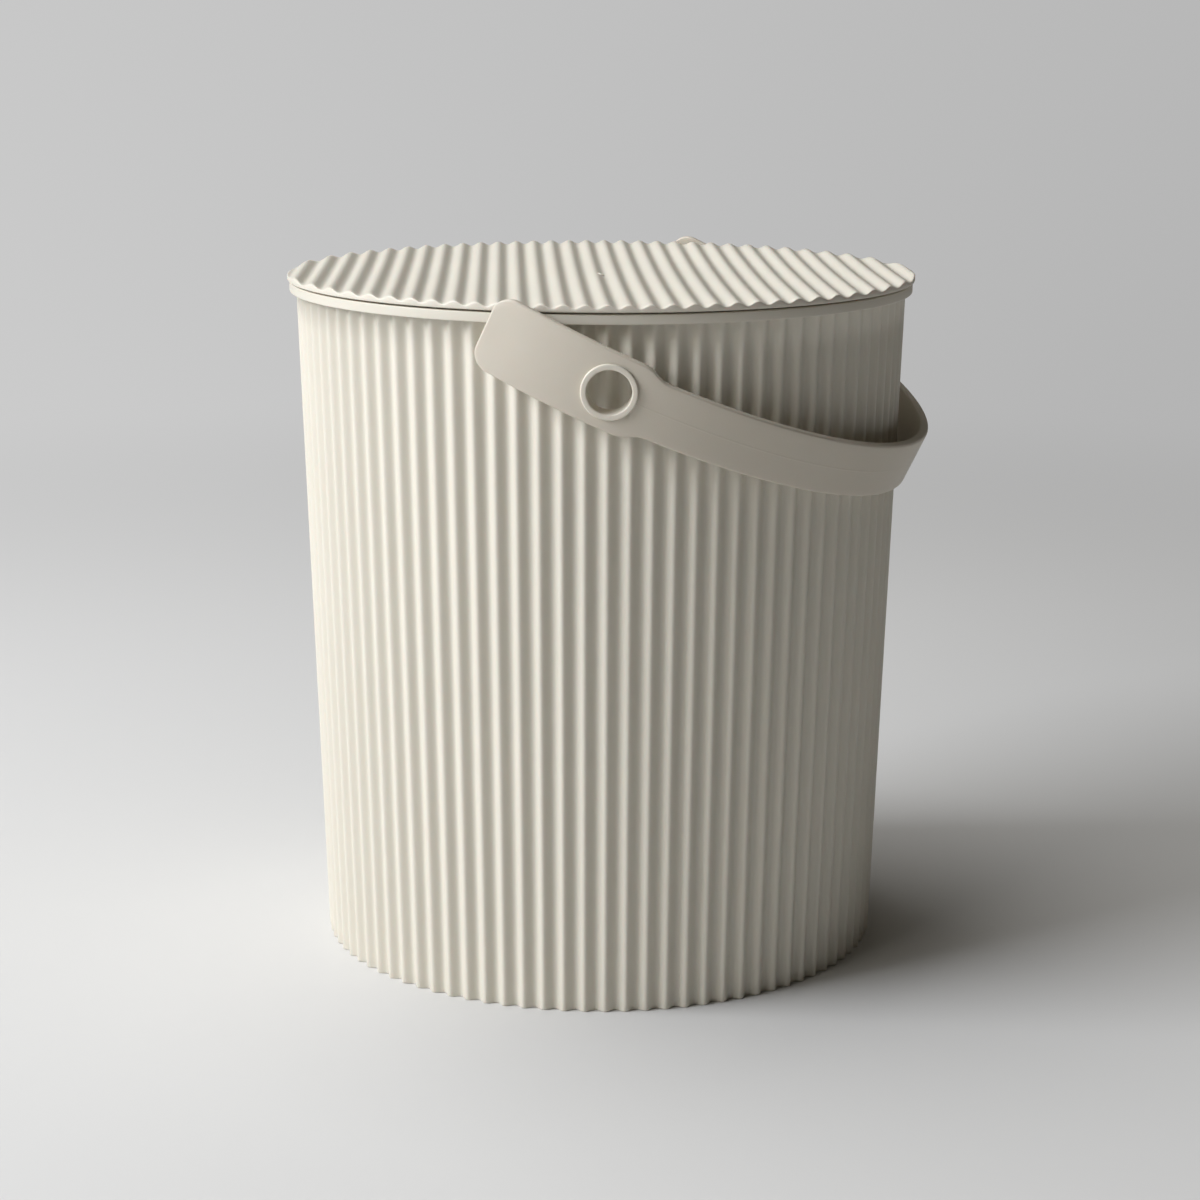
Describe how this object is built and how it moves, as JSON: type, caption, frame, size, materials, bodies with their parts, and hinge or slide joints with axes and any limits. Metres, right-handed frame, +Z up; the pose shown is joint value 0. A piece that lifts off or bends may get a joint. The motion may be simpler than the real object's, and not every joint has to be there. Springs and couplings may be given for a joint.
{
  "type": "lidded bucket",
  "caption": "Ribbed, slightly tapered round plastic bucket with a rim, a lift-off ribbed lid and a flat swinging strap handle with round eyelets.",
  "frame": {"origin": "on the bucket's axis, at floor level", "axes": "+Z up along the bucket's axis, handle pins along Y, handle loop rests towards +X"},
  "size_m": [0.3163, 0.3226, 0.3371],
  "materials": {
    "shell_plastic": "cream, fine matt grain",
    "handle_plastic": "greige, fine matt grain",
    "eyelet_plastic": "light greige, satin"
  },
  "bodies": {
    "bucket": {"bucket": "shell_plastic"},
    "lid": {"lid": "shell_plastic"},
    "handle": {"handle": "handle_plastic", "eyelet_front": "eyelet_plastic", "eyelet_back": "eyelet_plastic"}
  },
  "joints": [
    {"name": "lid_lift", "type": "slide", "parent": "bucket", "child": "lid", "axis": [0, 0, 1], "range_m": [0, 0.15]},
    {"name": "handle_swing", "type": "hinge", "parent": "bucket", "child": "handle", "pos_m": [0, 0, 0.3207], "axis": [0, -1, 0], "range_deg": [0, 230.8]}
  ]
}
